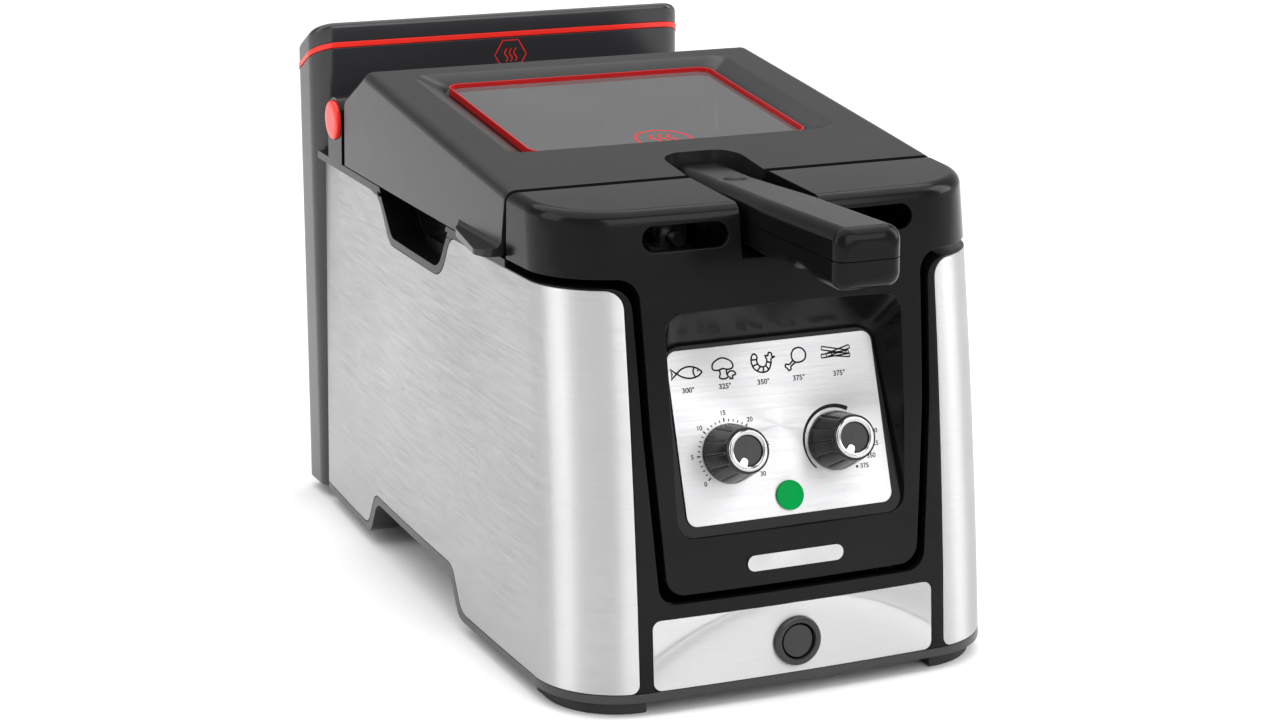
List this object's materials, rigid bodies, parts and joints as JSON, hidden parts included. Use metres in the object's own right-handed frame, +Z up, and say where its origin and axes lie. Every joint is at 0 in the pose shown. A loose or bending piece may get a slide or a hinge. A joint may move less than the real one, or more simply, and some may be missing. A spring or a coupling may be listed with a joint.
{
  "type": "deep fryer",
  "caption": "Household deep fryer: steel-sided body, sloping control panel, hinged lid with window, lifting basket with long front handle, and a filter tower at the rear.",
  "frame": {"origin": "middle of the footprint, on the surface that the feet stand on", "axes": "+Z up; -Y is the front, where the basket handle points; +X is to the right seen from the front"},
  "size_m": [0.2884, 0.5666, 0.32],
  "materials": {
    "black_plastic": "satin moulded",
    "brushed_steel": "brushed, horizontal grain",
    "polished_metal": "bright",
    "bowl_steel": "satin",
    "switchgear": "plain",
    "red_plastic": "semi-gloss",
    "smoked_glass": "smoked",
    "green_lens": "translucent",
    "rubber": "matte",
    "insulator": "plain",
    "filter_foam": "open-cell"
  },
  "bodies": {
    "casing": {"base_tray": "black_plastic", "body_housing": "black_plastic", "control_head": "black_plastic", "rear_tower": "black_plastic", "filter_grille": "black_plastic", "power_switch_bezel": "black_plastic", "side_panel_right": "brushed_steel", "side_panel_left": "brushed_steel", "front_strip": "brushed_steel", "control_panel_plate": "brushed_steel", "front_badge": "brushed_steel", "base_screw_1": "polished_metal", "base_screw_2": "polished_metal", "base_screw_3": "polished_metal", "base_screw_4": "polished_metal", "oil_bowl": "bowl_steel", "element_mount": "bowl_steel", "heating_element": "bowl_steel", "thermostat_probe": "bowl_steel", "timer_mechanism": "switchgear", "thermostat_body": "switchgear", "tower_trim_ring": "red_plastic", "ready_light_lens": "green_lens", "front_foot_right": "rubber", "front_foot_left": "rubber", "rear_foot_right": "rubber", "rear_foot_left": "rubber", "cord_inlet_gland": "rubber", "terminal_block": "insulator", "head_microswitch": "insulator", "foam_filter": "filter_foam", "carbon_filter": "filter_foam"},
    "lid": {"lid_shell": "black_plastic", "window_glass": "smoked_glass", "window_trim": "red_plastic", "lid_liner": "bowl_steel", "lid_seal": "rubber", "lid_pin_spring_right": "polished_metal", "lid_pin_spring_left": "polished_metal"},
    "lid_release_right": {"lid_release_button_right": "red_plastic"},
    "lid_release_left": {"lid_release_button_left": "red_plastic"},
    "lid_pin_right": {"lid_hinge_pin_right": "polished_metal"},
    "lid_pin_left": {"lid_hinge_pin_left": "polished_metal"},
    "basket_assembly": {"basket": "polished_metal", "basket_bracket": "polished_metal", "handle_upper": "black_plastic", "handle_lower": "black_plastic"},
    "handle_button": {"handle_release_button": "black_plastic"},
    "timer_dial": {"timer_knob": "black_plastic", "timer_knob_ring": "polished_metal"},
    "thermostat_dial": {"thermostat_knob": "black_plastic", "thermostat_knob_ring": "polished_metal"},
    "power_switch": {"power_switch_rocker": "black_plastic"},
    "filter_lid": {"filter_cover": "black_plastic"}
  },
  "joints": [
    {"name": "lid_hinge", "type": "hinge", "parent": "casing", "child": "lid", "pos_m": [0, 0.19675, 0.263], "axis": [-1, 0, 0], "range_deg": [0, 85]},
    {"name": "lid_release_right_press", "type": "slide", "parent": "casing", "child": "lid_release_right", "axis": [-1, 0, 0], "range_m": [0, 0.0045], "stiffness_N_per_m": 400, "springref_m": -0.003},
    {"name": "lid_release_left_press", "type": "slide", "parent": "casing", "child": "lid_release_left", "axis": [1, 0, 0], "range_m": [0, 0.0045], "stiffness_N_per_m": 400, "springref_m": -0.003},
    {"name": "lid_pin_right_slide", "type": "slide", "parent": "lid", "child": "lid_pin_right", "axis": [-1, 0, 0], "range_m": [0, 0.0045]},
    {"name": "lid_pin_left_slide", "type": "slide", "parent": "lid", "child": "lid_pin_left", "axis": [1, 0, 0], "range_m": [0, 0.0045]},
    {"name": "basket_lift", "type": "slide", "parent": "casing", "child": "basket_assembly", "axis": [0, 0, 1], "range_m": [0, 0.035]},
    {"name": "handle_release_press", "type": "slide", "parent": "basket_assembly", "child": "handle_button", "axis": [0, 0, -1], "range_m": [0, 0.002], "stiffness_N_per_m": 500, "springref_m": -0.002},
    {"name": "timer_turn", "type": "hinge", "parent": "casing", "child": "timer_dial", "pos_m": [-0.032, -0.18514, 0.13626], "axis": [0, 0.9449, -0.3272], "range_deg": [0, 270]},
    {"name": "thermostat_turn", "type": "hinge", "parent": "casing", "child": "thermostat_dial", "pos_m": [0.032, -0.18514, 0.13626], "axis": [0, 0.9449, -0.3272], "range_deg": [0, 270]},
    {"name": "power_rock", "type": "hinge", "parent": "casing", "child": "power_switch", "pos_m": [0, -0.20513, 0.0314], "axis": [0, 0.0645, 0.9979], "range_deg": [0, 12]},
    {"name": "filter_cover_hinge", "type": "hinge", "parent": "casing", "child": "filter_lid", "pos_m": [0, 0.28295, 0.2823], "axis": [-1, 0, 0], "range_deg": [0, 100]}
  ],
  "couplings": [
    {"joint": "lid_pin_right_slide", "follows": "lid_release_right_press", "ratio": 1},
    {"joint": "lid_pin_left_slide", "follows": "lid_release_left_press", "ratio": 1}
  ]
}
